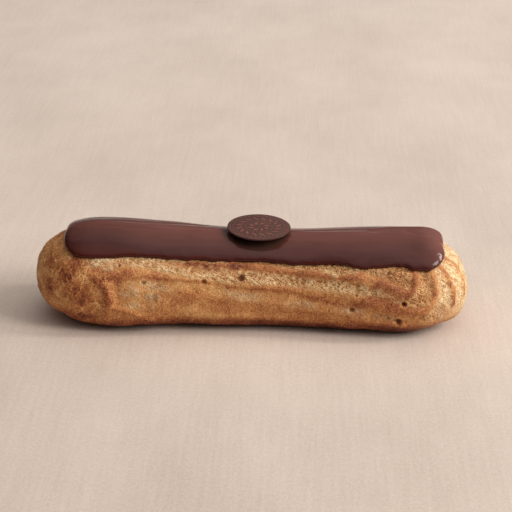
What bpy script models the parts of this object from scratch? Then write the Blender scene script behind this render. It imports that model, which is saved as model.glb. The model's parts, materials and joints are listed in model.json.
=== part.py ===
"""A chocolate eclair: a baked choux shell, a strip of chocolate icing on its crown, and a chocolate disc.

Metres, +Z up. X runs along the eclair and -Y is its front. The origin is on the surface that the
eclair stands on, under the middle of its length. Angles round the shell are in degrees: 0 at the
crown, 90 at the front, 180 underneath and -90 at the back.
"""

import math

import bmesh
import bpy
from mathutils import Vector, noise

MM = 0.001
GAP = 0.3 * MM  # the clearance that every two neighbouring solids keep
FRONT, BACK = 1, -1

# The choux shell. Its section is set at the middle and swells towards both ends.
LENGTH = 140 * MM
HALF_WIDTH = 16.4 * MM  # at the waist, in the middle of the length
CROWN = 26.6 * MM  # height of the shell's top at the waist
LEFT_SWELL = {"at": -50 * MM, "reach": 54 * MM, "wider": 2.6 * MM, "higher": 2.8 * MM}
RIGHT_SWELL = {"at": 46 * MM, "reach": 39 * MM, "wider": 2.8 * MM, "higher": 1.0 * MM}
UPPER_ROUNDNESS = 2.06  # exponents of the section's superellipse: 2 is an ellipse, more is squarer
LOWER_ROUNDNESS = 2.7
BASE_SINK = 0.7 * MM  # how much of the rounded underside the baking tray flattens

# The shell's widest line, and its two rounded ends: how far in from its tip each measure of an end curves.
AXIS_HEIGHT = 12.2 * MM  # at the waist
LEFT_TIP_HEIGHT = 14.2 * MM
RIGHT_TIP_HEIGHT = 10.8 * MM
LEFT_AXIS_FROM = 30 * MM  # from the middle, where the widest line starts to rise or sink to its tip
RIGHT_AXIS_FROM = 35 * MM
LEFT_REACH = {"upper": 21 * MM, "lower": 27 * MM, "side": 22 * MM, "roundness": 2.3}
RIGHT_REACH = {"upper": 17 * MM, "lower": 20.5 * MM, "side": 19 * MM, "roundness": 2.05}

# Piped ridges. They run along each side, sag towards the right end and turn back up in a U there.
GIRTH_RADIUS = 17.5 * MM  # turns an angle round the shell into a distance down from the crown
RIDGE_SPACING = 6.6 * MM
FIRST_RIDGE = 3.0 * MM  # from the middle line that the ridges run beside and turn about
RIDGE_HEIGHT = 0.9 * MM
RIDGE_HALF_WIDTH = 1.3 * MM
RIDGE_SLANT = 0.10  # how fast the ridges sink, per unit of length
SAG_LENGTH = 21 * MM
SAG_DEPTH = 3.3 * MM
TURN_X = 49.5 * MM
TURN_DEPTH = 19.6 * MM  # the turn's centre, measured down from the crown
TURN_BLEND = 9 * MM  # past the turn's centre, where the ridges become true circles about it
FAINT_RIDGE = 0.35  # share of their height that the ridges keep on the left half
FAINT_UP_TO = -30 * MM
FULL_FROM = 20 * MM

# Creases where the front swelled against the left bulb: from x, depth to x, depth.
FOLDS = (
    ((-48 * MM, 20.5 * MM), (-44.5 * MM, 26 * MM)),
    ((-44.5 * MM, 26 * MM), (-45.5 * MM, 32 * MM)),
    ((-43 * MM, 30.5 * MM), (-36.5 * MM, 32.5 * MM)),
    ((-36.5 * MM, 32.5 * MM), (-31 * MM, 38 * MM)),
)
FOLD_HEIGHT = 0.6 * MM
FOLD_HALF_WIDTH = 1.3 * MM

# Lumps from the baking. They and the ridges show only on the open skin, and fade out towards the tips.
LUMP_HEIGHT = 0.55 * MM
LUMP_SIZE = 13 * MM
LUMP_PLACE = Vector((3.1, 7.7, 1.9))  # which part of the random field the lumps come from
ICED_UP_TO, OPEN_FROM = 40, 56  # degrees: smooth under the icing, full relief on the sides
OPEN_UP_TO, BASE_FROM = 135, 158  # degrees: full relief on the sides, smooth underneath
TIP_FADE = 4 * MM

# Feet, where the lower front edge bulges: x, angle round the shell, reach, height.
FEET = (
    (-42 * MM, 126, 10 * MM, 0.9 * MM),
    (33 * MM, 128, 6 * MM, 0.7 * MM),
    (50 * MM, 122, 11 * MM, 0.5 * MM),
)
FOOT_SPREAD = 28  # degrees round the shell, to either side

# The icing: its outline on the shell, from left to right, and its thickness.
ICING_LEFT = -60.0 * MM
ICING_RIGHT = 60.9 * MM
ICING_FRONT_ANGLE = 41.5  # how far down the skin it reaches in the middle of its length
ICING_BACK_ANGLE = 41
ICING_END_ANGLE = 4  # how much further down it reaches at both ends
ICING_THICKNESS = 1.7 * MM
ICING_LEFT_ROUND = {"reach": 6 * MM, "squareness": 0.8}  # an end's rounded corners: 1 is a half circle
ICING_RIGHT_ROUND = {"reach": 6.5 * MM, "squareness": 0.75}
ICING_LIP_ROUND = 2.6 * MM
ICING_EDGE_WANDER = 0.8  # degrees
ICING_WANDER_LENGTH = 17 * MM
DRIP = {"from": 49.5 * MM, "angle": 4.6, "widens_over": 1.5 * MM, "thicker": 0.6 * MM, "full_over": 8 * MM}

# A low dab on the icing, and the chocolate disc that it carries.
DAB_RADIUS = 5.5 * MM
DAB_HEIGHT = 0.9 * MM
DISC_RADIUS = 10.2 * MM
DISC_THICKNESS = 0.5 * MM
DISC_EDGE = 0.12 * MM
DISC_SIDES = 48
DISC_X = 2.2 * MM
DISC_Y = 0.9 * MM
DISC_ROLL = 1.3  # degrees, right side down
DISC_PITCH = 0.5  # degrees, back side up

# Finishes: linear colour and roughness.
BAKED_CHOUX = ((0.46, 0.24, 0.10), 0.7)
ICING_CHOCOLATE = ((0.09, 0.035, 0.028), 0.3)
DISC_CHOCOLATE = ((0.10, 0.05, 0.04), 0.5)


def smoothstep(value, low, high):
    share = min(max((value - low) / (high - low), 0.0), 1.0)
    return share * share * (3 - 2 * share)


def hump(value, centre, reach):
    """1 at the centre, falling smoothly to 0 at reach on both sides."""
    share = min(abs(value - centre) / reach, 1.0)
    return 0.5 + 0.5 * math.cos(math.pi * share)


def closing(distance, reach, roundness=2.0):
    """Share of the full size at this distance in from a rounded tip, as a quarter superellipse."""
    share = min(max(distance / reach, 0.0), 1.0)
    return (1 - (1 - share) ** roundness) ** (1 / roundness)


def signed_power(value, exponent):
    return math.copysign(abs(value) ** exponent, value)


def shell_share(x, part):
    """How much of the full section is left at x, near either tip, for its upper, lower or side measure."""
    left = closing(x + LENGTH / 2, LEFT_REACH[part], LEFT_REACH["roundness"])
    return left * closing(LENGTH / 2 - x, RIGHT_REACH[part], RIGHT_REACH["roundness"])


def axis_height(x):
    left = smoothstep(-x, LEFT_AXIS_FROM, LENGTH / 2)
    right = smoothstep(x, RIGHT_AXIS_FROM, LENGTH / 2)
    return AXIS_HEIGHT + left * (LEFT_TIP_HEIGHT - AXIS_HEIGHT) + right * (RIGHT_TIP_HEIGHT - AXIS_HEIGHT)


def swollen(x, base, key):
    """A measure of the waist's section, with what the two swellings add to it at x."""
    swells = (LEFT_SWELL, RIGHT_SWELL)
    return base + sum(swell[key] * hump(x, swell["at"], swell["reach"]) for swell in swells)


def smooth_skin(x, angle):
    """Point of the shell's skin before its ridges."""
    turn = math.radians(angle)
    axis = axis_height(x)
    half_width = swollen(x, HALF_WIDTH, "wider") * shell_share(x, "side")
    if abs(angle) <= 90:
        half_height = (swollen(x, CROWN, "higher") - axis) * shell_share(x, "upper")
        roundness = UPPER_ROUNDNESS
    else:
        half_height = (axis + BASE_SINK) * shell_share(x, "lower")
        roundness = LOWER_ROUNDNESS
    y = -half_width * signed_power(math.sin(turn), 2 / roundness)
    z = axis + half_height * signed_power(math.cos(turn), 2 / roundness)
    return Vector((x, y, max(z, 0.0)))


def outward(point):
    """Direction from the shell's inner line to this point."""
    inner_x = min(max(point.x, LEFT_REACH["side"] - LENGTH / 2), LENGTH / 2 - RIGHT_REACH["side"])
    return (point - Vector((inner_x, 0, axis_height(inner_x)))).normalized()


def turn_line_depth(x):
    """How far down from the crown the line runs that the piped ridges are parallel to."""
    drop = TURN_DEPTH - SAG_DEPTH * (1 - smoothstep(x, TURN_X - SAG_LENGTH, TURN_X))
    return drop + RIDGE_SLANT * (min(x, TURN_X) - TURN_X)


def ridge_distance(x, angle, point):
    """Distance from the ridges' own middle line: along the side it is measured down the skin, round the
    right end straight from the point that the ridges turn about."""
    down = math.radians(abs(angle)) * GIRTH_RADIUS - turn_line_depth(x)
    beyond = max(x - TURN_X, 0.0)
    side = FRONT if angle >= 0 else BACK
    centre = smooth_skin(TURN_X, side * math.degrees(TURN_DEPTH / GIRTH_RADIUS))
    share = smoothstep(beyond, 0, TURN_BLEND)
    return (1 - share) * math.hypot(beyond, down) + share * (point - centre).length


def ridge_relief(distance):
    """Height of the nearest piped ridge's rounded crest, at this distance from the ridges' middle line."""
    nearest = max(round((distance - FIRST_RIDGE) / RIDGE_SPACING), 0)
    away = (distance - FIRST_RIDGE - nearest * RIDGE_SPACING) / RIDGE_HALF_WIDTH
    return RIDGE_HEIGHT * math.exp(-away * away)


def fold_relief(x, depth):
    """Height of the nearest crease beside the left bulb."""
    here = Vector((x, depth, 0))
    away = math.inf
    for start, end in FOLDS:
        first, last = Vector((*start, 0)), Vector((*end, 0))
        run = last - first
        share = min(max((here - first).dot(run) / run.length_squared, 0.0), 1.0)
        away = min(away, (here - first - share * run).length)
    return FOLD_HEIGHT * math.exp(-((away / FOLD_HALF_WIDTH) ** 2))


def relief(x, angle, point):
    """How far the skin stands out from its smooth shape: ridges, creases, lumps from the baking, and feet."""
    open_skin = smoothstep(abs(angle), ICED_UP_TO, OPEN_FROM)
    open_skin *= 1 - smoothstep(abs(angle), OPEN_UP_TO, BASE_FROM)
    ridged = FAINT_RIDGE + (1 - FAINT_RIDGE) * smoothstep(x, FAINT_UP_TO, FULL_FROM)
    height = ridged * ridge_relief(ridge_distance(x, angle, point))
    if angle > 0:
        height += fold_relief(x, math.radians(angle) * GIRTH_RADIUS)
    height += LUMP_HEIGHT * noise.noise(point / LUMP_SIZE + LUMP_PLACE)
    height *= open_skin * smoothstep(LENGTH / 2 - abs(x), 0, TIP_FADE)
    for foot_x, foot_angle, reach, foot_height in FEET:
        height += foot_height * hump(x, foot_x, reach) * hump(angle, foot_angle, FOOT_SPREAD)
    return height


def shell_skin(x, angle, lift=0.0):
    """Point of the finished skin, raised by lift along the way out."""
    point = smooth_skin(x, angle)
    raised = point + outward(point) * (relief(x, angle, point) + lift)
    raised.z = max(raised.z, 0.0)
    return raised


def spread(start, end, steps):
    """Evenly spaced values from start up to, and without, end."""
    return [start + (end - start) * step / steps for step in range(steps)]


def rounding(reach, steps):
    """Distances in from a tip, close together where the end curves in most."""
    return [reach * (1 - math.cos(math.pi / 2 * step / steps)) for step in range(1, steps)]


def shell_stations():
    """X of each ring of the shell: close together where an end curves in, and round the ridges' turn."""
    half, left, right = LENGTH / 2, LEFT_REACH["side"], RIGHT_REACH["side"]
    turn_from = 28 * MM
    xs = [inset - half for inset in rounding(left, 13)]
    xs += spread(left - half, turn_from, 23)
    xs += spread(turn_from, half - right, 9)
    xs.append(half - right)
    xs += [half - inset for inset in reversed(rounding(right, 15))]
    return xs


def shell_angles():
    """Angles of the points of a ring: close together on the sides, where the ridges run."""
    iced, base = 42, 146
    crown = spread(-iced, iced, 7)
    front = spread(iced, base, 21)
    under = spread(base, 360 - base, 5)
    back = spread(360 - base, 360 - iced, 21)
    return [angle - 360 if angle > 180 else angle for angle in crown + front + under + back]


def bridged(rings, tips):
    """A closed mesh through rings of points, with a fan to a tip point at each end."""
    made = bmesh.new()
    loops = []
    for ring in rings:
        verts = [made.verts.new(point) for point in ring]
        loops.append([made.edges.new((verts[i - 1], vert)) for i, vert in enumerate(verts)])
    for first, second in zip(loops, loops[1:]):
        bmesh.ops.bridge_loops(made, edges=first + second)
    for tip, loop in zip(tips, (loops[0], loops[-1])):
        peak = made.verts.new(tip)
        for edge in loop:
            made.faces.new((*edge.verts, peak))
    bmesh.ops.recalc_face_normals(made, faces=made.faces)
    return made


def make_shell():
    rings = [[shell_skin(x, angle) for angle in shell_angles()] for x in shell_stations()]
    tips = [Vector((x, 0, axis_height(x))) for x in (-LENGTH / 2, LENGTH / 2)]
    return bridged(rings, tips)


def icing_edge_angle(x, side):
    """Angle at which the icing ends on the front or back side at x. Its edge wanders as poured icing does."""
    angle = ICING_FRONT_ANGLE if side == FRONT else ICING_BACK_ANGLE
    angle += ICING_EDGE_WANDER * noise.noise(Vector((x / ICING_WANDER_LENGTH, side * 5.3, 0.4)))
    angle += ICING_END_ANGLE * (x / ICING_RIGHT) ** 2
    if side == FRONT:
        angle += DRIP["angle"] * smoothstep(x, DRIP["from"], DRIP["from"] + DRIP["widens_over"])
    left = closing(x - ICING_LEFT, ICING_LEFT_ROUND["reach"]) ** ICING_LEFT_ROUND["squareness"]
    right = closing(ICING_RIGHT - x, ICING_RIGHT_ROUND["reach"]) ** ICING_RIGHT_ROUND["squareness"]
    return angle * left * right


def icing_thickness(x):
    thickness = ICING_THICKNESS
    thickness += DRIP["thicker"] * smoothstep(x, DRIP["from"], DRIP["from"] + DRIP["full_over"])
    return thickness * closing(x - ICING_LEFT, ICING_LIP_ROUND) * closing(ICING_RIGHT - x, ICING_LIP_ROUND)


def icing_ring(x):
    """One closed loop of the icing: its rounded top from back to front, then its underside on the shell."""
    front_shares = (0.07, 0.2, 0.4, 0.65, 0.85, 0.94, 0.985, 1)
    top_shares = [-share for share in reversed(front_shares)] + list(front_shares)
    under_shares = (0.95, 0.7, 0.42, 0.14, -0.14, -0.42, -0.7, -0.95)
    thickness = icing_thickness(x)
    front, back = icing_edge_angle(x, FRONT), icing_edge_angle(x, BACK)

    def point(share, lift):
        return shell_skin(x, share * (front if share > 0 else back), GAP + lift)

    top = [point(share, thickness * (1 - share**4) ** 0.25) for share in top_shares]
    for spot in top:
        from_dab = math.hypot(spot.x - DISC_X, spot.y - DISC_Y)
        spot.z += DAB_HEIGHT * hump(from_dab, 0, DAB_RADIUS)
    return top + [point(share, 0) for share in under_shares]


def make_icing():
    left_insets = (0.4, 1.3, 2.8, 4.8, 7.2, 10)  # mm in from an end, where the outline curves
    right_insets = (4.8, 3.2, 1.9, 0.9, 0.25)
    body_from, drip_from, body_to = ICING_LEFT + 13 * MM, 42 * MM, ICING_RIGHT - 5 * MM
    dab_from, dab_to = DISC_X - DAB_RADIUS, DISC_X + DAB_RADIUS
    xs = [ICING_LEFT + inset * MM for inset in left_insets]
    xs += spread(body_from, dab_from, 11) + spread(dab_from, dab_to, 8) + spread(dab_to, drip_from, 9)
    xs += spread(drip_from, body_to, 8)
    xs += [ICING_RIGHT - inset * MM for inset in right_insets]
    tips = [shell_skin(ICING_LEFT, 0, GAP), shell_skin(ICING_RIGHT, 0, GAP)]
    return bridged([icing_ring(x) for x in xs], tips)


def finished(name, made, finish):
    """The object of this name from its mesh, with a material of its own named after it."""
    mesh = bpy.data.meshes.new(name)
    made.to_mesh(mesh)
    made.free()
    mesh.shade_smooth()
    mesh.materials.append(food_material(name, *finish))
    piece = bpy.data.objects.new(name, mesh)
    bpy.context.scene.collection.objects.link(piece)
    return piece


def food_material(name, colour, roughness):
    material = bpy.data.materials.new(name + "_finish")
    material.use_nodes = True
    shader = material.node_tree.nodes["Principled BSDF"]
    shader.inputs["Base Color"].default_value = (*colour, 1)
    shader.inputs["Roughness"].default_value = roughness
    shader.inputs["Metallic"].default_value = 0
    material.diffuse_color = (*colour, 1)
    return material


def make_disc():
    made = bmesh.new()
    bmesh.ops.create_cone(
        made,
        cap_ends=True,
        segments=DISC_SIDES,
        radius1=DISC_RADIUS,
        radius2=DISC_RADIUS,
        depth=DISC_THICKNESS,
    )
    disc = finished("chocolate_disc", made, DISC_CHOCOLATE)
    dab_top = shell_skin(DISC_X, 0, GAP + ICING_THICKNESS).z + DAB_HEIGHT
    disc.location = (DISC_X, DISC_Y, dab_top + GAP + DISC_THICKNESS / 2)
    disc.rotation_euler = (math.radians(DISC_PITCH), math.radians(DISC_ROLL), 0)
    edge = disc.modifiers.new("softened_rim", "BEVEL")
    edge.width = DISC_EDGE
    edge.segments = 1
    edge.limit_method = "ANGLE"
    return disc


def main():
    for old in list(bpy.data.objects):
        bpy.data.objects.remove(old)
    finished("choux_shell", make_shell(), BAKED_CHOUX)
    finished("chocolate_icing", make_icing(), ICING_CHOCOLATE)
    make_disc()


main()
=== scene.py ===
"""A chocolate eclair, dressed: baked crust, chocolate icing and printed chocolate disc, on a pale floor.

Metres, +Z up. X runs along the eclair, -Y is its front, and it stands on Z = 0.
"""

import json
import math

import bpy
import numpy as np
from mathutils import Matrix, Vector, noise

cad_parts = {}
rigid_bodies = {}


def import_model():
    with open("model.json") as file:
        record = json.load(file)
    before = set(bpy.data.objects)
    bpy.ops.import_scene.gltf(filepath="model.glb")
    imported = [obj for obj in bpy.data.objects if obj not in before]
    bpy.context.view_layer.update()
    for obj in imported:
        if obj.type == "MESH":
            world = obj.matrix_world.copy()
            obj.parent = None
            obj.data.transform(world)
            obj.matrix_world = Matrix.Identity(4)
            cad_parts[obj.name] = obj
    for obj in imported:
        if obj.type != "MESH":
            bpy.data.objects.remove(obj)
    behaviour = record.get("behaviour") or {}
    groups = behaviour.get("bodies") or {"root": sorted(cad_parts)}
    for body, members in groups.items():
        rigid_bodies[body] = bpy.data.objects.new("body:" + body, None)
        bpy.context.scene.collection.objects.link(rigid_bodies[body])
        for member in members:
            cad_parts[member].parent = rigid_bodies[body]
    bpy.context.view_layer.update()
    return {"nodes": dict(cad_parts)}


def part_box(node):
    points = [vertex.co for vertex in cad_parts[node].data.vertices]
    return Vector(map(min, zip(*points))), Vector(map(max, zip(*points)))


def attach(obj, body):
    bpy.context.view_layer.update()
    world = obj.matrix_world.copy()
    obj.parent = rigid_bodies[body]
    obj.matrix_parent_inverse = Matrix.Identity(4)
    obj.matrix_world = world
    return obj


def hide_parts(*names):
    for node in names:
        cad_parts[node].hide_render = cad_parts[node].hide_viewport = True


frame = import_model()
MM = 0.001

# ---------------------------------------------------------------------------------------------------------
# The crust. Choux dough, piped through a star nozzle and baked until it puffs up. The piped ridges keep
# their smooth skin and brown most; between them the swelling dough tears open, pale, stringy and full of
# small holes. A ball is fitted to the shell, given an even mesh, and then shaped like the baked skin.
# ---------------------------------------------------------------------------------------------------------
CRUST_GRID = 0.45 * MM  # edge length of the crust's mesh
CRUST_SMOOTHING = 24  # rounds


def select_only(piece):
    bpy.ops.object.select_all(action="DESELECT")
    piece.select_set(True)
    bpy.context.view_layer.objects.active = piece


def apply_modifiers(piece):
    select_only(piece)
    for name in [modifier.name for modifier in piece.modifiers]:
        bpy.ops.object.modifier_apply(modifier=name)


def lay_on(piece, node, name):
    """Adds a step that lays the piece's skin on this node's."""
    fit = piece.modifiers.new(name, "SHRINKWRAP")
    fit.target = frame["nodes"][node]


def even_out(piece, grid):
    """Adds a step that gives the piece an even mesh with edges of this length."""
    even_mesh = piece.modifiers.new("even_mesh", "REMESH")
    even_mesh.mode = "VOXEL"
    even_mesh.voxel_size = grid


def smooth_facets(piece, rounds):
    """Adds a step that smooths the piece's facets away."""
    no_facets = piece.modifiers.new("no_facets", "SMOOTH")
    no_facets.factor = 0.5
    no_facets.iterations = rounds


low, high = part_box("choux_shell")
size = high - low
bpy.ops.object.select_all(action="DESELECT")
bpy.ops.mesh.primitive_uv_sphere_add(
    segments=128,
    ring_count=96,
    radius=0.5,
    location=(low + high) / 2,
    rotation=(0, math.radians(90), 0),
    scale=(size.z, size.y, size.x),
)
crust = bpy.context.object
crust.name = crust.data.name = "baked_crust"
bpy.ops.object.transform_apply(location=True, rotation=True, scale=True)
lay_on(crust, "choux_shell", "rough_fit")
even_out(crust, CRUST_GRID)
lay_on(crust, "choux_shell", "close_fit")
smooth_facets(crust, CRUST_SMOOTHING)
apply_modifiers(crust)


def vertex_rows(mesh, kind):
    """The mesh's vertex places ("co") or normals ("normal") as rows of X, Y and Z."""
    rows = np.empty(len(mesh.vertices) * 3, np.float32)
    if kind == "co":
        mesh.vertices.foreach_get("co", rows)
    else:
        mesh.vertex_normals.foreach_get("vector", rows)
    return rows.reshape(-1, 3).astype(float)


def move_points(piece, places):
    """Moves the points of the piece's mesh to these places, in millimetres, and shades it smooth."""
    piece.data.vertices.foreach_set("co", (places * MM).astype(np.float32).ravel())
    piece.data.update()
    piece.data.shade_smooth()


def store(piece, name, values):
    """Keeps one number for each point of the piece's mesh, for its material to read."""
    attribute = piece.data.attributes.new(name, "FLOAT", "POINT")
    attribute.data.foreach_set("value", values.astype(np.float32))


def ramp(value, start, end):
    """0 up to start, 1 from end on, and smooth between."""
    share = np.clip((value - start) / (end - start), 0, 1)
    return share * share * (3 - 2 * share)


def lumps(places, seed):
    """Smooth random heights, from about -1 to 1, in lumps one unit across."""
    shift = Vector((seed * 7.31, seed * 3.17, seed * 5.73))
    return 1.6 * np.array([noise.noise(Vector(place) + shift) for place in places])


def cells(places, seed):
    """For points strewn about one unit apart: the distance to the nearest one, how much further the second
    nearest is, and a fixed random number of the nearest."""
    shift = Vector((seed * 7.31, seed * 3.17, seed * 5.73))
    rows = []
    for place in places:
        away, points = noise.voronoi(Vector(place) + shift)
        rows.append((away[0], away[1] - away[0], noise.cell(points[0] * 31.7)))
    return np.array(rows).T


places = vertex_rows(crust.data, "co") / MM  # this section works in millimetres from here on
normals = vertex_rows(crust.data, "normal")
x, y, z = places.T
front = y < 0

# How far down from the crown each point lies, measured on the skin.
AXIS_HEIGHT = 12.2  # height of the shell's widest line, in its middle and at its two tips
LEFT_TIP_HEIGHT = 14.2
RIGHT_TIP_HEIGHT = 10.8
GIRTH_RADIUS = 17.5
stations = np.linspace(x.min(), x.max(), 141)
nearby = [places[abs(x - station) < 1] for station in stations]
half_width = np.interp(x, stations, [abs(rows[:, 1]).max() for rows in nearby])
crown = np.interp(x, stations, [rows[:, 2].max() for rows in nearby])
axis = AXIS_HEIGHT + (LEFT_TIP_HEIGHT - AXIS_HEIGHT) * ramp(-x, 30, 70)
axis += (RIGHT_TIP_HEIGHT - AXIS_HEIGHT) * ramp(x, 35, 70)
half_height = np.where(z > axis, crown - axis, axis)
depth = np.arctan2(abs(y) / half_width, (z - axis) / half_height) * GIRTH_RADIUS

# The front's piped ridges, each as x, height and half-width from left to right.
UPPER_RIDGE = (
    (-20, 23, 0.4),
    (-9, 22.6, 0.9),
    (-1, 22.2, 1.3),
    (5, 21.7, 1.0),
    (15, 20.7, 1.0),
    (22, 20.6, 1.1),
    (27.5, 20.3, 0.5),
    (31, 20.4, 1.0),
    (35, 20.7, 1.6),
    (38, 20.1, 1.7),
    (42, 19.3, 1.6),
    (45.5, 17.9, 1.5),
    (49, 16.4, 1.3),
    (51.2, 17.6, 0.9),
    (51.9, 20, 1.0),
    (51.4, 23, 1.0),
)
LEFT_RIDGE = (
    (-46.5, 19.9, 1.0),
    (-41, 20.2, 1.3),
    (-37, 20.7, 1.2),
    (-29, 19.7, 0.9),
    (-22, 19, 0.5),
    (-13, 18.2, 0.4),
)
LOWER_RIDGE = (
    (-7, 17, 0.6),
    (4, 16.5, 0.8),
    (13, 15.8, 0.9),
    (20, 14.2, 1.2),
    (27, 12.8, 1.1),
    (32, 12.6, 1.4),
    (38, 13.7, 1.6),
    (43, 12.3, 1.8),
    (48, 11.6, 1.7),
    (52, 10.7, 1.4),
    (55.3, 11.2, 1.1),
    (57.5, 13.6, 1.1),
    (58.4, 16.6, 1.1),
    (57.7, 19.9, 1.1),
    (56, 23, 1.1),
)
OUTER_RIDGE = (
    (64.3, 11.5, 0.9),
    (63.9, 15, 1.1),
    (62.9, 18, 1.0),
    (61.3, 20.5, 1.0),
    (59.2, 22.9, 0.9),
)
END_RIDGE = (
    (67.8, 12.5, 0.7),
    (67.8, 15.5, 0.8),
    (66.8, 18, 0.8),
    (65.6, 20.2, 0.9),
    (63.9, 21.9, 0.9),
    (61.8, 23.6, 0.9),
)
BULB_RIDGE = (
    (-48.3, 19.4, 0.9),
    (-45.9, 16.9, 1.2),
    (-44.5, 14.2, 1.3),
    (-44.4, 11.5, 1.2),
    (-45.6, 8, 1.0),
)
FOLD_RIDGE = (
    (-43, 9.8, 0.7),
    (-40, 9.4, 0.9),
    (-36.4, 7.9, 1.0),
    (-34.2, 5.8, 0.8),
    (-31, 4.2, 0.6),
)


def on_front(across, height):
    """Place on the front of the crust at this x and height."""
    off = np.hypot(x - across, z - height) + np.where(front, 0, 1000) + 0.02 * y
    return places[off.argmin()]


def from_stretch(points, start, end):
    """Each point's distance from the straight stretch between two places, and its share of the way along."""
    run = end - start
    share = np.clip((points - start) @ run / (run @ run), 0, 1)
    return np.linalg.norm(points - start - share[:, None] * run, axis=1), share


def along_line(line):
    """How far each point of the crust is from a line along its front, and the line's half-width there."""
    corners = [on_front(across, height) for across, height, _ in line]
    nearest = np.full(len(places), np.inf)
    width = np.ones(len(places))
    for start, end, (_, _, first), (_, _, last) in zip(corners, corners[1:], line, line[1:]):
        away, share = from_stretch(places, start, end)
        closer = away < nearest
        nearest = np.where(closer, away, nearest)
        width = np.where(closer, first + share * (last - first), width)
    return nearest, width


# The back's ridges run parallel, turn about a point near the right end, and sag before it.
RIDGE_SPACING = 6.6
FIRST_RIDGE = 3.0
TURN_X = 49.5
TURN_DEPTH = 19.6
TURN_PLACE = np.array((49.5, 18.3, 18.7))
SAG_LENGTH = 21
SAG_DEPTH = 3.3
RIDGE_SLANT = 0.10
TURN_BLEND = 9  # past the turn's place, where the ridges become circles about it
turn_line = TURN_DEPTH - SAG_DEPTH * (1 - ramp(x, TURN_X - SAG_LENGTH, TURN_X))
turn_line += RIDGE_SLANT * (np.minimum(x, TURN_X) - TURN_X)
beyond = np.maximum(x - TURN_X, 0)
turning = np.linalg.norm(places - TURN_PLACE, axis=1)
share = ramp(beyond, 0, TURN_BLEND)
from_line = (1 - share) * np.hypot(beyond, depth - turn_line) + share * turning
wavy = from_line + 0.9 * lumps(places / 14, 3)
ridge_number = np.maximum(np.round((wavy - FIRST_RIDGE) / RIDGE_SPACING), 0)
from_ridge = abs(wavy - FIRST_RIDGE - ridge_number * RIDGE_SPACING)
back_width = 1.0 + 0.4 * lumps(places / 9, 4) + 0.4 * (ridge_number == 1)
back_ridge = np.exp(-((from_ridge / back_width) ** 2)) * (ridge_number < 3) * (y > 0)
back_ridge *= ramp(lumps(places / 16, 5) + 0.02 * x, -0.9, 0.1)

# Along the ridges the skin is drawn out into fine lines, and its edges are ragged.
drawn_out = lumps(places / (4, 0.7, 0.7), 25)
ragged = 0.35 * lumps(places / 1.1, 8) + 0.25 * lumps(places / 3.3, 9)
ridged = back_ridge.copy()
browned = back_ridge.copy()
for line in (UPPER_RIDGE, LEFT_RIDGE, LOWER_RIDGE, OUTER_RIDGE, END_RIDGE, BULB_RIDGE, FOLD_RIDGE):
    away, width = along_line(line)
    ridged = np.maximum(ridged, np.exp(-((away / (width * 1.1)) ** 2)))
    band = np.exp(-((np.maximum(away + 0.9 * ragged, 0) / (width * 1.15)) ** 2))
    browned = np.maximum(browned, band * (1 - 0.3 * ramp(drawn_out, -0.2, 0.8)))

# Torn dough: above the skin's upper edge on the sides, and between the ridges of the right end. The front's
# edge is given as x and height.
SKIN_EDGE = (
    (-62, 26),
    (-50, 23.6),
    (-37, 22.8),
    (-26, 20.8),
    (-18, 19.4),
    (-6, 17.5),
    (12, 17.1),
    (32, 15.7),
    (42, 14.7),
    (52, 11),
)
front_edge = np.interp(x, *np.transpose(SKIN_EDGE))
back_edge = turn_line + FIRST_RIDGE + RIDGE_SPACING - 1.2 - 2.5 * ramp(-x, -10, 50)
over_edge = np.where(front, z - front_edge, back_edge - depth) + 0.8 * ragged
right_end = ramp(x, 48, 55) * (1 - 0.8 * ramp(depth, 31, 38))
torn = np.maximum(ramp(over_edge, -0.5, 0.9) * ramp(x, -57, -48), right_end)

# Patches of the front that browned more, or less: x, height, half-length, half-height, strength. The
# patches just under the icing's lower edge are darker partly as painted shade.
BROWNED_AND_SHADED_PATCHES = (
    (-63.6, 22, 1.6, 1.6, 0.16),
    (-55.4, 22.9, 2.2, 1.7, 0.28),
    (-58, 19.7, 2.8, 2.2, 0.28),
    (-63.5, 15.6, 1.8, 2.6, 0.24),
    (-54.2, 13.8, 4.4, 3.0, 0.28),
    (-50.8, 12.6, 3.0, 1.6, 0.14),
    (-48.3, 18.9, 2.2, 1.4, 0.14),
    (-50.9, 6.2, 3.5, 1.6, 0.20),
    (-58.5, 6.4, 6.0, 1.6, 0.22),
    (-45.6, 14, 1.4, 4.0, 0.16),
    (-60.2, 14.8, 1.4, 2.2, -0.14),
    (-60.5, 10, 4.0, 1.6, -0.06),
    (-60, 24.5, 3.0, 1.6, -0.08),
    (-53.5, 24.0, 3.0, 1.2, 0.16),
    (-42, 23.6, 4.0, 0.8, 0.10),
    (-41.4, 18.3, 1.6, 1.3, 0.20),
    (-27, 23, 5.0, 0.9, 0.16),
    (-19, 22.8, 5.5, 1.0, 0.26),
    (-12.5, 21.7, 3.5, 1.0, 0.22),
    (-4.5, 22, 3.0, 1.0, 0.20),
    (-19, 17.4, 3.5, 1.8, -0.12),
    (-12.5, 15.7, 3.5, 1.4, -0.08),
    (-41, 9.5, 3.0, 1.5, -0.08),
    (-21, 13.5, 6.0, 2.6, 0.13),
    (-14, 6.6, 13.0, 0.9, -0.14),
    (-67.5, 20.5, 3.0, 5.0, -0.14),
    (-57, 21, 5.0, 4.0, 0.05),
    (-39, 17, 4.0, 2.5, 0.06),
    (-13, 21.3, 8.0, 1.2, 0.13),
    (-6, 9.5, 9.0, 3.0, 0.08),
    (16, 9, 6.0, 3.0, 0.06),
    (26, 19.5, 5.0, 2.0, -0.08),
    (43, 19, 4.0, 2.0, 0.05),
    (45, 22.2, 6.0, 1.5, -0.10),
    (42, 4, 6.0, 2.0, 0.08),
    (61.5, 9.5, 4.5, 3.0, 0.14),
    (41, 15, 3.0, 1.2, 0.12),
    (47.1, 15, 2.5, 1.4, 0.14),
)
patch_browning_and_shade = np.zeros(len(places))
unbroken = np.zeros(len(places))
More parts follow.
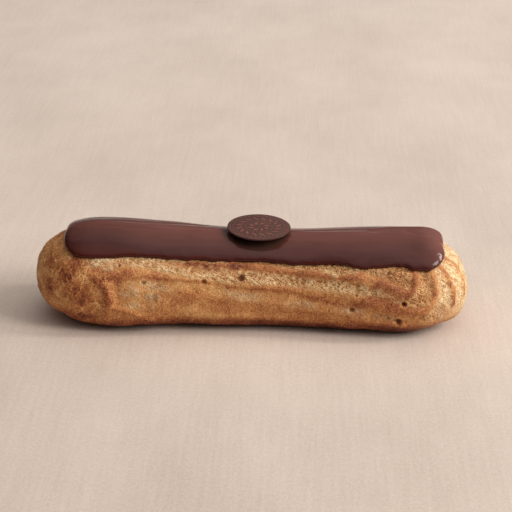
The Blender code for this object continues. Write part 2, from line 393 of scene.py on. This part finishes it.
for across, height, half_length, patch_height, strength in BROWNED_AND_SHADED_PATCHES:
    reach = np.hypot((x - across) / half_length, (z - height) / patch_height) + 0.8 * ragged
    spot = (1 - ramp(reach, 0.1, 1.6)) * front
    patch_browning_and_shade += strength * spot
    unbroken = np.maximum(unbroken, 3.4 * strength * spot)

# Patches of the front's skin that tore a little, pale and stringy: x, height, half-length, half-height.
TEARS = (
    (-47.5, 23.8, 4.5, 1.2),
    (-30, 17.2, 5.0, 1.4),
    (-37.5, 15.8, 3.0, 1.6),
    (-30, 13.6, 3.5, 0.9),
    (-36, 10.8, 4.5, 0.9),
    (-2, 13.9, 4.5, 1.3),
    (17, 11.6, 4.0, 1.1),
    (32.5, 10.6, 4.5, 1.5),
    (43, 8.6, 4.0, 1.2),
)
TEAR_SLANT = 0.12  # how fast the tears sink towards the right
dull = np.zeros(len(places))
for across, height, half_length, patch_height in TEARS:
    slanted = z - height + TEAR_SLANT * (x - across)
    reach = np.hypot((x - across) / half_length, slanted / patch_height) + 2.0 * ragged
    dull = np.maximum(dull, (1 - ramp(reach, 0.1, 1.7)) * front)
torn = np.maximum(torn, 0.7 * dull) * (1 - np.clip(unbroken, 0, 0.85))
torn *= 1 - 0.95 * ramp(browned, 0.1, 0.6)
# A thin raised edge where the skin meets the torn dough, made paler: partly the torn edge's own colour,
# partly a painted highlight.
pale_edge_and_highlight = np.exp(-(((over_edge - 0.6) / 0.5) ** 2)) * (1 - ramp(x, 40, 50)) * ramp(x, -50, -44)
pale_edge_and_highlight *= ramp(lumps(places / 5, 28), -0.7, 0.5)

# The bulb at the left: skin that stretched into small plates, with a net of fine pale cracks between them.
bulb = 1 - ramp(x - 0.25 * z, -51, -45)
PLATE_SIZE = 3.4
_, to_edge, plate_random = cells(places / PLATE_SIZE + 0.22 * lumps(places / 1.5, 10)[:, None], 11)
crack_line = np.exp(-((to_edge * PLATE_SIZE / 0.35) ** 2)) * ramp(lumps(places / 3, 12), -0.9, 0.2)
plates = ramp(to_edge * PLATE_SIZE, 0.3, 1.6)

# Strings of torn dough run down to the right and across each other, with small deep pits between them.
STRING_WAY = np.array((0.80, 0.0, -0.60))
CROSS_WAY = np.array((0.35, 0.0, 0.94))
stretched = places - 0.72 * (places @ STRING_WAY)[:, None] * STRING_WAY
crossing = places - 0.6 * (places @ CROSS_WAY)[:, None] * CROSS_WAY
wander = 0.4 * lumps(places / 3, 13)[:, None]
strings = 1 - 2.6 * abs(lumps(stretched / 1.0 + wander, 14))
cross_strings = 1 - 3.0 * abs(lumps(crossing / 1.0 + wander, 26))
web = np.clip(np.maximum(strings, 0.7 * cross_strings), -0.5, 1)
PIT_SPACING = 1.6
PORE_SPACING = 3.1
pit_away, _, pit_random = cells(stretched / PIT_SPACING, 16)
pits = (1 - ramp(pit_away * PIT_SPACING, 0.1, 0.25 + 0.35 * pit_random)) * (pit_random > 0.6)
pore_away, _, pore_random = cells(places / PORE_SPACING, 17)
pores = (1 - ramp(pore_away * PORE_SPACING, 0.08, 0.15 + 0.35 * pore_random)) * (pore_random > 0.65)

# Open holes of the front: x, height, radius, how deep.
HOLES = (
    (-2.8, 19.5, 1.1, 1.0),
    (48.5, 13.5, 0.9, 1.2),
    (32.2, 10.8, 1.0, 0.8),
    (47.2, 6.8, 1.0, 1.2),
    (44, 8.2, 0.5, 0.5),
    (43.5, 22.3, 0.6, 0.8),
    (61, 17.3, 0.5, 0.5),
    (33.5, 15.7, 0.5, 0.6),
    (-14.5, 18.4, 0.8, 0.8),
    (-33.5, 18.3, 0.6, 0.6),
    (-41, 23, 0.5, 0.7),
    (-14.5, 20.8, 0.5, 0.5),
    (-52, 18.8, 0.5, 0.7),
    (13.5, 17.7, 0.5, 0.6),
    (-30, 13.3, 1.0, 0.3),
    (66.4, 20.6, 0.6, 0.8),
    (69, 10.4, 0.5, 0.5),
)
holes = np.zeros(len(places))
hole_depth = np.zeros(len(places))
rims = np.zeros(len(places))
for across, height, radius, deep in HOLES:
    offset = (places - on_front(across, height)) * (1, 1, 0.8 + 0.3 * math.sin(3 * across))
    away = np.linalg.norm(offset, axis=1) + 0.55 * radius * ragged
    mouth = 1 - ramp(away, 0.5 * radius, 1.1 * radius)
    holes = np.maximum(holes, mouth * min(1, 0.85 * deep))
    hole_depth = np.maximum(hole_depth, mouth * deep)
    rims = np.maximum(rims, np.exp(-(((away - 1.3 * radius) / (0.3 * radius + 0.1)) ** 2)))

# How far the skin stands out or in, except where it rests on the tray.
open_skin = ramp(z, 0.3, 2.5)
creamy = ramp(x, 54, 62) * front
relief = (0.42 + 0.2 * ramp(x, 46, 52)) * ridged + 0.16 * pale_edge_and_highlight
relief += torn * (0.26 * (web - 0.4) - 0.35 * pits) * (1 - 0.4 * creamy)
relief += (1 - torn) * (0.10 * lumps(places / 3, 18) + 0.09 * lumps(places / 1.0, 19) - 0.3 * pores)
relief += bulb * (0.10 * crack_line + 0.16 * plates - 0.1)
relief += 0.10 * rims - hole_depth + 0.20 * lumps(places / 8, 20) + 0.4 * ramp(-x, 60, 68)
relief *= open_skin

# How much the skin browned, and how light the torn dough is, both about 0 to 1.
bottom = ramp(7 - z, 0, 7)
scorched = ramp(7.5 - z, 0, 4) * (1 - 0.6 * bulb)
cracked = np.clip(bulb + 0.35 * ramp(-x, -10, 20), 0, 1) * ramp(lumps(places / 3, 12), -0.7, 0.8)
streaky = lumps(places / (0.6, 2.5, 2.5), 27)
browning = 0.46 + 0.09 * lumps(places / 7, 21) + 0.05 * lumps(places / 2.2, 22)
browning += 0.04 * streaky
browning += 0.26 * bottom
browning += 0.14 * bulb + bulb * (0.10 * plates * (plate_random - 0.45) - 0.17 * crack_line)
ridge_browning = 0.28 * browned * (0.85 + 0.2 * lumps(places / 5, 24)) * (1 - 0.4 * bottom)
browning += patch_browning_and_shade + ridge_browning + 0.28 * scorched
# The paler skin edge here is partly a painted highlight.
browning -= 0.10 * rims + 0.18 * pale_edge_and_highlight + 0.06 * ramp(x, 50, 64)
tone = 0.16 * lumps(places / 4, 23) + 0.18 * (web - 0.3) + 0.08 * lumps(places / 1.4, 29)
tone = 0.44 + tone * (1 - 0.6 * creamy)
drawn_round = lumps(np.stack([turning / 0.7, x / 7, z / 7], axis=1), 30) * ramp(x, 52, 60)
# Painted shade: the dough just under the icing's lower edge is made darker.
painted_shade_under_lip = ramp(x, -8, 4) * (1 - ramp(x, 50, 57)) * ramp(z, 18, 22) * front
turned_end = ramp(x, 39, 46) * (1 - ramp(x, 53, 59)) * front
# The right end is made paler: partly its pale torn dough, partly painted light on its lit side.
tone += 0.36 * ramp(x, 54, 64) + 0.10 * drawn_round - patch_browning_and_shade - 0.18 * painted_shade_under_lip - 0.16 * turned_end
tone += 0.16 * front * (1 - ramp(x, -16, 0)) + 0.14 * np.exp(-(((x - 28) / 4) ** 2)) * painted_shade_under_lip
browning += 0.10 * drawn_round + 0.10 * turned_end
# Holes, pits and pores are painted a darker brown: painted shade in the recesses.
hollow_painted_shade = np.clip(holes + 0.25 * pits * torn + 0.35 * pores * (1 - torn), 0, 1)

places += normals * relief[:, None]
places[:, 2] = np.maximum(places[:, 2], 0)
baked_values = {
    "browning": browning,
    "torn": torn,
    "tone": tone,
    "hollow_painted_shade": hollow_painted_shade,
    "dull": dull,
    "cracked": cracked,
}
for name, values in baked_values.items():
    store(crust, name, values)
move_points(crust, places)


def plug(tree, node, inputs):
    """Gives each of these inputs of a shader node its value, or links it where it is given a socket."""
    for key, value in inputs.items():
        if isinstance(value, bpy.types.NodeSocket):
            tree.links.new(value, node.inputs[key])
        else:
            node.inputs[key].default_value = value


def put(tree, kind, inputs=None, **settings):
    """A new shader node with these settings and inputs."""
    node = tree.nodes.new("ShaderNode" + kind)
    for name, value in settings.items():
        setattr(node, name, value)
    plug(tree, node, inputs or {})
    return node


def new_skin(name):
    """A new material, its node tree and its Principled shader."""
    skin = bpy.data.materials.new(name)
    skin.use_nodes = True
    return skin, skin.node_tree, skin.node_tree.nodes["Principled BSDF"]


def linear(red, green, blue):
    """A colour given as it looks, from 0 to 255, as the shader needs it."""
    shares = [value / 255 for value in (red, green, blue)]
    return [share / 12.92 if share < 0.04 else ((share + 0.055) / 1.055) ** 2.4 for share in shares] + [1]


def colour_ramp(tree, factor, stops):
    """Blends through these colours, each given with its place from 0 to 1."""
    node = put(tree, "ValToRGB", {"Fac": factor})
    band = node.color_ramp
    while len(band.elements) < len(stops):
        band.elements.new(0.5)
    for element, (place, colour) in zip(band.elements, stops):
        element.position = place
        element.color = linear(*colour)
    return node.outputs["Color"]


def stored(tree, name):
    """What store kept under this name."""
    return put(tree, "Attribute", attribute_name=name).outputs["Fac"]


def combined(tree, operation, first, second):
    """Adds, subtracts or multiplies two sockets or numbers, or takes the larger."""
    return put(tree, "Math", {0: first, 1: second}, operation=operation).outputs[0]


def spread(tree, value, start=0.0, end=1.0, low=0.0, high=1.0):
    """Low up to start, high from end on, and even between."""
    inputs = {"Value": value, "From Min": start, "From Max": end, "To Min": low, "To Max": high}
    return put(tree, "MapRange", inputs).outputs[0]


def sum_of(tree, start, *terms):
    """A socket plus weighted sockets, each term given as (socket, weight)."""
    total = start
    for socket, weight in terms:
        total = put(tree, "Math", {0: socket, 1: weight, 2: total}, operation="MULTIPLY_ADD").outputs[0]
    return total


def mixed(tree, factor, first, second):
    """Blends two colours, each a socket or a value."""
    node = put(tree, "Mix", {0: factor, 6: first, 7: second}, data_type="RGBA")
    return node.outputs[2]


def patterned(tree, place, size, detail=2.0, turn=0.0):
    """Noise about 0, with lumps of this size along X, Y and Z, turned about Y."""
    layout = {"Vector": place, "Rotation": (0, turn, 0), "Scale": size}
    laid = put(tree, "Mapping", layout, vector_type="TEXTURE").outputs[0]
    value = put(tree, "TexNoise", {"Vector": laid, "Scale": 1.0, "Detail": detail, "Roughness": 0.6})
    return combined(tree, "SUBTRACT", value.outputs["Fac"], 0.5)


def bumps(tree, height, strength, depth):
    """The skin's small bumps, this deep, from a height."""
    return put(tree, "Bump", {"Strength": strength, "Distance": depth, "Height": height}).outputs[0]


def crests(tree, pattern, sharpness):
    """1 where the pattern passes through 0, falling off to both sides: thin lines like strings."""
    away = put(tree, "Math", {0: pattern}, operation="ABSOLUTE").outputs[0]
    thin = put(tree, "Math", {0: away, 1: -sharpness, 2: 1.0}, operation="MULTIPLY_ADD", use_clamp=True)
    return thin.outputs[0]


crust_skin, tree, shader = new_skin("baked_choux_crust")
place = put(tree, "TexCoord").outputs["Object"]
at = {name: stored(tree, name) for name in baked_values}
grain = patterned(tree, place, (0.42 * MM,) * 3)
mottle = patterned(tree, place, (0.9 * MM,) * 3, 3)
upright = patterned(tree, place, (0.45 * MM, 0.45 * MM, 1.5 * MM))
warp = put(tree, "TexNoise", {"Vector": place, "Scale": 1 / (3.0 * MM), "Detail": 2.0}).outputs["Color"]
warped = put(tree, "VectorMath", {0: warp, 1: (1.8 * MM,) * 3, 2: place}, operation="MULTIPLY_ADD")
flake_layout = {"Vector": warped.outputs["Vector"], "Scale": 1 / (2.6 * MM)}
flakes = put(tree, "TexVoronoi", flake_layout, feature="DISTANCE_TO_EDGE")
seam = spread(tree, flakes.outputs["Distance"], end=0.12, low=1, high=0)
cracks = combined(tree, "MULTIPLY", seam, at["cracked"])
skin_shade = sum_of(tree, at["browning"], (mottle, 0.34), (grain, 1.15), (upright, 0.34), (cracks, -0.25))
SKIN_COLOURS = (
    (0.0, (244, 204, 148)),
    (0.22, (226, 176, 115)),
    (0.45, (204, 142, 85)),
    (0.66, (174, 106, 61)),
    (0.85, (138, 73, 42)),
    (1.0, (92, 42, 24)),
)
baked = colour_ramp(tree, skin_shade, SKIN_COLOURS)
down_strings = patterned(tree, place, (4.5 * MM, 0.75 * MM, 0.75 * MM), 1, math.radians(36))
across_strings = patterned(tree, place, (2.4 * MM, 0.8 * MM, 0.8 * MM), 1, math.radians(-62))
fine_web = combined(tree, "MAXIMUM", crests(tree, down_strings, 8.0), crests(tree, across_strings, 11.0))
torn_shade = sum_of(tree, at["tone"], (fine_web, 0.7), (grain, 1.0), (mottle, 0.2))
torn_shade = combined(tree, "SUBTRACT", torn_shade, 0.27)
TORN_COLOURS = (
    (0.0, (150, 90, 51)),
    (0.3, (188, 126, 76)),
    (0.55, (211, 156, 102)),
    (0.8, (231, 186, 132)),
    (1.0, (250, 219, 171)),
)
stringy = colour_ramp(tree, torn_shade, TORN_COLOURS)
surface = mixed(tree, at["torn"], baked, stringy)
dulled = {"Saturation": 0.96, "Value": 0.94, "Fac": at["dull"], "Color": surface}
surface = put(tree, "HueSaturation", dulled).outputs[0]
# Painted shade: holes, pits and pores take a darker brown.
surface = mixed(tree, at["hollow_painted_shade"], surface, linear(126, 70, 41))
torn_web = combined(tree, "MULTIPLY", fine_web, at["torn"])
height = sum_of(tree, torn_web, (torn_web, 0.6), (grain, 0.9), (mottle, 0.6), (cracks, 0.6))
crust_finish = {
    "Base Color": surface,
    "Roughness": spread(tree, at["torn"], low=0.62, high=0.85),
    "Specular IOR Level": 0.3,
    "Normal": bumps(tree, height, 0.75, 0.28 * MM),
}
plug(tree, shader, crust_finish)
crust.data.materials.append(crust_skin)
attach(crust, "root")
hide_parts("choux_shell")

# ---------------------------------------------------------------------------------------------------------
# The icing. Dark chocolate fondant, spread warm over the crown and set: one glossy strip with rounded edges.
# The spatula left soft creases along its top, and at the right end a bead behind a crease.
# ---------------------------------------------------------------------------------------------------------
ICING_GRID = 0.38 * MM  # edge length of the icing's mesh
ICING_SMOOTHING = 16  # rounds
select_only(frame["nodes"]["chocolate_icing"])
bpy.ops.object.duplicate()
icing = bpy.context.object
icing.name = icing.data.name = "icing_strip"
for key in list(icing.keys()):
    del icing[key]
bpy.ops.object.parent_clear(type="CLEAR_KEEP_TRANSFORM")
bpy.ops.object.mode_set(mode="EDIT")
bpy.ops.mesh.select_all(action="SELECT")
bpy.ops.mesh.remove_doubles(threshold=0.01 * MM)
bpy.ops.object.mode_set(mode="OBJECT")
icing.data.materials.clear()
even_out(icing, ICING_GRID)
smooth_facets(icing, ICING_SMOOTHING)
apply_modifiers(icing)

places = vertex_rows(icing.data, "co") / MM  # in millimetres, as for the crust
normals = vertex_rows(icing.data, "normal")
x, y, z = places.T

# Outward is away from a core line inside the eclair. The underside looks back at it.
CORE_LEFT = -48
CORE_RIGHT = 51
CORE_HEIGHT = 12.0
core = np.stack([np.clip(x, CORE_LEFT, CORE_RIGHT), np.zeros(len(x)), np.full(len(x), CORE_HEIGHT)], axis=1)
outward = places - core
outward /= np.linalg.norm(outward, axis=1)[:, None]
underside = ramp(-(normals * outward).sum(axis=1), -0.2, 0.5)


def swell_along(line, half_width, flat_end=1.5):
    """1 along a line of x and y on the icing's top, falling off to its sides and towards its two ends."""
    nearest = np.full(len(places), np.inf)
    for start, end in zip(line, line[1:]):
        away, _ = from_stretch(places[:, :2], np.array(start), np.array(end))
        nearest = np.minimum(nearest, away)
    left, right = line[0][0], line[-1][0]
    ends = ramp(x, left - flat_end, left + 8) * (1 - ramp(x, right - flat_end, right + flat_end))
    return np.exp(-((nearest / half_width) ** 2)) * ends


# Each crease, and the bead, as x and y from left to right.
RIGHT_CREASE = ((36, 0.8), (44, 1.3), (49.7, 0.7), (55, -2.0), (61, -3.6))
RIGHT_BEAD = ((38, 4.5), (50, 4.0), (57, 1.5), (61, 0.5))
LEFT_CREASE = ((-52, 0.2), (-42, -0.6), (-30, -1.6), (-18, -1.0))
TOP_CREASE = ((-47, 2.9), (-38, 1.8), (-28, 2.6), (-14, 4.6))
MIDDLE_CREASE = ((12, 3.5), (24, 2.0), (38, 3.0))
# Lumps of the icing, each as x, y, radius to the left, radius elsewhere and height: the dab that holds the
# disc, and at the right end a thick drop and the end of the bead.
LUMPS = ((2.2, 0.9, 2.5, 2.5, 0.4), (55.4, -7.9, 6.0, 3.2, 0.75), (57.5, 3.5, 6.0, 3.5, 0.5))
relief = 0.12 * lumps(places / 11, 31) + 0.05 * lumps(places * [0.05, 0.5, 0.5], 32)
relief += 0.5 * swell_along(RIGHT_BEAD, 2.4) - 0.36 * swell_along(RIGHT_CREASE, 0.8)
relief -= 0.12 * swell_along(LEFT_CREASE, 0.8) + 0.12 * swell_along(TOP_CREASE, 0.8)
relief -= 0.10 * swell_along(MIDDLE_CREASE, 0.9)
for across, along, left_radius, radius, rise in LUMPS:
    reach = np.hypot((x - across) / np.where(x < across, left_radius, radius), (y - along) / radius)
    relief += rise * np.exp(-(reach**2))
relief *= 1 - underside

# How far the warm icing ran down at the front, each as x and length.
RUNS = (
    (-57, 0.1),
    (-51, 0.75),
    (-45, 0.7),
    (-40, 0.1),
    (-30, 0.1),
    (-24, 0.4),
    (-10, 0.5),
    (-3, 0.15),
    (4, 0),
    (12, 0.8),
    (18.5, 0.9),
    (23, 0.5),
    (28, 0.1),
    (31.5, 0.9),
    (34.5, 1.4),
    (38, 1.2),
    (42.5, 0.8),
    (47.5, 0.15),
    (50, 0),
)

# How far down the side each point lies: 0 on the crown, 1 at the strip's edge, and less near the right end.
# The colour follows it as painted light and shade: a painted highlight on the crown and the right end, and
# painted shade down the front to the lower edge.
turned = np.arctan2(abs(y), z - CORE_HEIGHT)
stations = np.linspace(x.min(), x.max(), 121)
edge_turn = np.array([turned[abs(x - station) < 1.2].max() for station in stations])
down_and_painted_shade = turned / np.interp(x, stations, edge_turn) - 0.3 * ramp(x, 53, 60) - 0.25 * ramp(x, 57, 61)

SETTLED = 0.12  # how far the whole strip has settled towards the core line
UNDERSIDE_DEPTH = 0.75  # how much further its underside is sunk, into the crust
places += outward * (relief - UNDERSIDE_DEPTH * underside - SETTLED)[:, None]
x += 0.8 * ramp(x, 54, 61) * ramp(-y, 4, 10)
run_down = np.interp(x, *np.transpose(RUNS)) + 0.25 * lumps(places * (0.45, 0, 0), 33) * ramp(x, -50, -40)
run_down *= ramp(down_and_painted_shade, 0.72, 0.96) * (y < 0)
places[:, 1:] -= 0.7 * run_down[:, None]
# Painted shade: the icing is made darker towards its left end.
down_and_painted_shade += 0.22 * ramp(-x, 28, 50)
store(icing, "down_and_painted_shade", down_and_painted_shade)
# Under the disc and close round it little light comes in, and the icing looks less red.
sheltered = 1 - ramp(np.hypot(x - 1.8, y - 0.5), 8.5, 12)
store(icing, "sheltered", sheltered)
move_points(icing, places)

icing_skin, tree, shader = new_skin("dark_chocolate_icing")
place = put(tree, "TexCoord").outputs["Object"]
streaks = patterned(tree, place, (40 * MM, 1.6 * MM, 1.6 * MM), 3)
cloud = patterned(tree, place, (11 * MM, 5 * MM, 5 * MM), 2)
specks = patterned(tree, place, (0.6 * MM,) * 3, 2)
shade = sum_of(tree, stored(tree, "down_and_painted_shade"), (streaks, 0.25), (cloud, 0.35), (specks, 0.12))
# Colours from the crown down to the lower edge: the chocolate's own colour with painted shade down the
# front.
ICING_COLOURS_AND_SHADE = (
    (0.0, (116, 68, 59)),
    (0.1, (110, 63, 54)),
    (0.3, (102, 56, 47)),
    (0.48, (90, 46, 38)),
    (0.75, (80, 38, 32)),
    (0.9, (66, 25, 22)),
    (1.0, (72, 24, 16)),
)
colour = colour_ramp(tree, shade, ICING_COLOURS_AND_SHADE)
colour = mixed(tree, stored(tree, "sheltered"), colour, linear(67, 44, 37))
icing_finish = {
    "Base Color": colour,
    "Roughness": spread(tree, cloud, -0.3, 0.3, 0.08, 0.18),
    "Specular IOR Level": 0.28,
    "Normal": bumps(tree, sum_of(tree, streaks, (specks, 0.15)), 0.3, 0.12 * MM),
}
plug(tree, shader, icing_finish)
icing.data.materials.append(icing_skin)
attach(icing, "root")
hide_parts("chocolate_icing")

# ---------------------------------------------------------------------------------------------------------
# The disc. A thin round of dark chocolate, cast on a printed film and laid on the icing, a little askew.
# Its cocoa-butter print is a wreath of lozenges, leaves and dots.
# ---------------------------------------------------------------------------------------------------------
low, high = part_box("chocolate_disc")
DISC_PLACE = (low + high) / 2
DISC_RADIUS = 10.2 * MM
DISC_THICKNESS = 0.5 * MM
DISC_TURN = (math.radians(0.5), math.radians(1.3), 0)
DISC_EDGE = 0.1 * MM  # how much its edge is rounded
PRINT_THICKNESS = 0.05 * MM


def lay_flat(piece):
    """Moves a finished piece of the disc from the origin to its place on the icing, and applies that."""
    piece.location = DISC_PLACE
    piece.rotation_euler = DISC_TURN
    select_only(piece)
    bpy.ops.object.transform_apply(location=True, rotation=True, scale=True)


bpy.ops.object.select_all(action="DESELECT")
bpy.ops.mesh.primitive_cylinder_add(
    vertices=128,
    radius=DISC_RADIUS,
    depth=DISC_THICKNESS,
    location=(0, 0, 0),
)
disc = bpy.context.object
disc.name = disc.data.name = "chocolate_round"
soft_edge = disc.modifiers.new("soft_edge", "BEVEL")
soft_edge.width = DISC_EDGE
soft_edge.segments = 3
soft_edge.limit_method = "ANGLE"
apply_modifiers(disc)
bpy.ops.object.shade_smooth_by_angle(angle=math.radians(35))
from_middle = np.hypot(*vertex_rows(disc.data, "co")[:, :2].T)
# The rim is painted darker: painted shade on the rounded edge.
store(disc, "painted_shade_rim", from_middle > DISC_RADIUS - DISC_EDGE / 2)
lay_flat(disc)


def flat_mark(sides):
    """A flat mark one unit across, for the wreath to repeat."""
    bpy.ops.object.select_all(action="DESELECT")
    bpy.ops.mesh.primitive_cylinder_add(
        vertices=sides,
        radius=0.5,
        depth=PRINT_THICKNESS,
        location=(0, 0, 0),
    )
    return bpy.context.object


lozenge = flat_mark(4)
dot = flat_mark(14)
# Each ring of the wreath: motif, how many, radius, length outwards and breadth in millimetres, and slant.
WREATH = (
    (lozenge, 48, 9.4, 0.7, 0.4, 0.0),
    (dot, 36, 8.4, 0.45, 0.45, 0.0),
    (lozenge, 16, 6.3, 3.0, 0.75, 0.7),
    (lozenge, 16, 6.3, 1.2, 0.5, -0.9),
    (dot, 24, 4.3, 0.35, 0.35, 0.0),
    (lozenge, 8, 2.6, 2.4, 0.8, -0.5),
)
print_height = DISC_THICKNESS / 2 + PRINT_THICKNESS / 4
printed = []
for motif, count, radius, length, breadth, slant in WREATH:
    for number in range(count):
        turn = math.tau * (number + 0.5) / count
        mark = motif.copy()
        mark.data = motif.data.copy()
        mark.location = (radius * MM * math.cos(turn), radius * MM * math.sin(turn), print_height)
        mark.rotation_euler = (0, 0, turn + slant)
        mark.scale = (length * MM, breadth * MM, 1)
        bpy.context.scene.collection.objects.link(mark)
        printed.append(mark)
bpy.ops.object.select_all(action="DESELECT")
for mark in printed:
    mark.select_set(True)
bpy.context.view_layer.objects.active = printed[0]
bpy.ops.object.join()
wreath = bpy.context.object
wreath.name = wreath.data.name = "printed_wreath"
bpy.data.objects.remove(lozenge)
bpy.data.objects.remove(dot)
bpy.ops.object.transform_apply(location=True, rotation=True, scale=True)
lay_flat(wreath)

disc_skin, tree, shader = new_skin("cast_chocolate")
place = put(tree, "TexCoord").outputs["Object"]
cloud = patterned(tree, place, (4 * MM,) * 3, 3)
specks = patterned(tree, place, (0.4 * MM,) * 3, 2)
shade = combined(tree, "ADD", sum_of(tree, cloud, (specks, 0.8)), 0.5)
cast = colour_ramp(tree, shade, ((0.2, (75, 47, 41)), (0.8, (93, 61, 53))))
disc_finish = {
    # Painted shade: the rim is darker.
    "Base Color": mixed(tree, stored(tree, "painted_shade_rim"), cast, linear(66, 32, 28)),
    "Roughness": spread(tree, shade, low=0.36, high=0.5),
    "Specular IOR Level": 0.3,
}
plug(tree, shader, disc_finish)
disc.data.materials.append(disc_skin)

print_skin, tree, shader = new_skin("coloured_cocoa_butter")
place = put(tree, "TexCoord").outputs["Object"]
wear = combined(tree, "ADD", patterned(tree, place, (0.7 * MM,) * 3, 3), 0.5)
worn = colour_ramp(tree, wear, ((0.3, (122, 68, 58)), (0.6, (160, 86, 70))))
plug(tree, shader, {"Base Color": worn, "Roughness": 0.45})
wreath.data.materials.append(print_skin)
for piece in (disc, wreath):
    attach(piece, "root")
    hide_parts("chocolate_disc")

# ---------------------------------------------------------------------------------------------------------
# The floor, the light and the camera. A pale plastered board, a room that is lighter overhead and towards
# its window on the right, with a faint low wall behind the eclair, and the window itself in two panes.
# ---------------------------------------------------------------------------------------------------------
bpy.ops.object.select_all(action="DESELECT")
bpy.ops.mesh.primitive_plane_add(size=4, location=(0, 0, 0))
floor = bpy.context.object
floor.name = floor.data.name = "pale_floor"
floor_skin, tree, shader = new_skin("pale_plaster")
place = put(tree, "TexCoord").outputs["Object"]
cloud = patterned(tree, place, (60 * MM, 90 * MM, 1), 5)
brushed = patterned(tree, place, (1.4 * MM, 30 * MM, 1), 3)
grit = patterned(tree, place, (0.9 * MM, 1.4 * MM, 1), 3)
dust = patterned(tree, place, (0.35 * MM, 0.7 * MM, 1), 1)
across = put(tree, "SeparateXYZ", {"Vector": place}).outputs
# Painted light and shade: the plaster is made lighter towards the back and darker towards the right.
painted_light_fades = ((across["Y"], 0.9), (across["X"], -0.3))
shade = sum_of(tree, cloud, (brushed, 0.35), (grit, 0.6), (dust, 0.6), *painted_light_fades)
shade = combined(tree, "ADD", shade, 0.48)
plaster = colour_ramp(tree, shade, ((0.0, (194, 177, 163)), (1.0, (234, 218, 205))))
plug(tree, shader, {"Base Color": plaster, "Roughness": 0.9, "Specular IOR Level": 0.2})
floor.data.materials.append(floor_skin)

ROOM_COLOUR = (1.0, 0.97, 0.94, 1)
WINDOW_SIDE = (0.90, 0.10, 0.40)  # the way the room is lightest
world = bpy.data.worlds.new("studio_air")
world.use_nodes = True
tree = world.node_tree
direction = put(tree, "TexCoord").outputs["Generated"]
towards_window = put(tree, "VectorMath", {0: direction, 1: WINDOW_SIDE}, operation="DOT_PRODUCT")
side = spread(tree, towards_window.outputs["Value"], start=-1)
side = spread(tree, combined(tree, "MULTIPLY", side, side), low=0.03, high=1.25)
ways = put(tree, "SeparateXYZ", {"Vector": direction}).outputs
upwards, backwards = ways["Z"], ways["Y"]
overhead = spread(tree, combined(tree, "MULTIPLY", upwards, upwards), low=0.16, high=1.75)
wall = spread(tree, backwards, start=0.4, high=0.42)
low_down = spread(tree, upwards, start=0.3, end=0.0)
wall = combined(tree, "MULTIPLY", wall, low_down)
strength = combined(tree, "ADD", combined(tree, "MULTIPLY", side, overhead), wall)
plug(tree, tree.nodes["Background"], {"Color": ROOM_COLOUR, "Strength": strength})
bpy.context.scene.world = world


WINDOW_COLOUR = (1.0, 0.965, 0.93)
LAMP_AIM = Vector((0, 0, 15 * MM))


def pane(name, place, size, watts):
    """A rectangular lamp at this place, pointed at the eclair."""
    light = bpy.data.lights.new(name, "AREA")
    light.shape = "RECTANGLE"
    light.size, light.size_y = size
    light.energy = watts
    light.color = WINDOW_COLOUR
    lamp = bpy.data.objects.new(name, light)
    lamp.location = place
    lamp.rotation_euler = (LAMP_AIM - Vector(place)).to_track_quat("-Z", "Y").to_euler()
    bpy.context.scene.collection.objects.link(lamp)


pane("window_front", (0.98, -0.41, 0.68), (0.34, 0.72), 8.8)
pane("window_back", (1.06, 0.02, 0.68), (0.12, 0.72), 5.2)

LENS = 100  # mm
SENSOR = 36  # mm
CAMERA_DISTANCE = 463 * MM
CAMERA_ELEVATION = math.radians(24.8)
CAMERA_TURN = math.radians(2.5)
AIM = Vector((0, 0, 16 * MM))
SHIFT = (0.0078125, 0.0234375)  # right and up, as shares of the picture's width
camera_data = bpy.data.cameras.new("camera")
camera_data.lens = LENS
camera_data.sensor_width = SENSOR
camera_data.shift_x, camera_data.shift_y = SHIFT
camera = bpy.data.objects.new("camera", camera_data)
bpy.context.scene.collection.objects.link(camera)
level = math.cos(CAMERA_ELEVATION)
towards = Vector((math.sin(CAMERA_TURN) * level, -math.cos(CAMERA_TURN) * level, math.sin(CAMERA_ELEVATION)))
camera.location = AIM + towards * CAMERA_DISTANCE
camera.rotation_euler = (-towards).to_track_quat("-Z", "Y").to_euler()
bpy.context.scene.camera = camera
bpy.context.scene.view_settings.view_transform = "Standard"
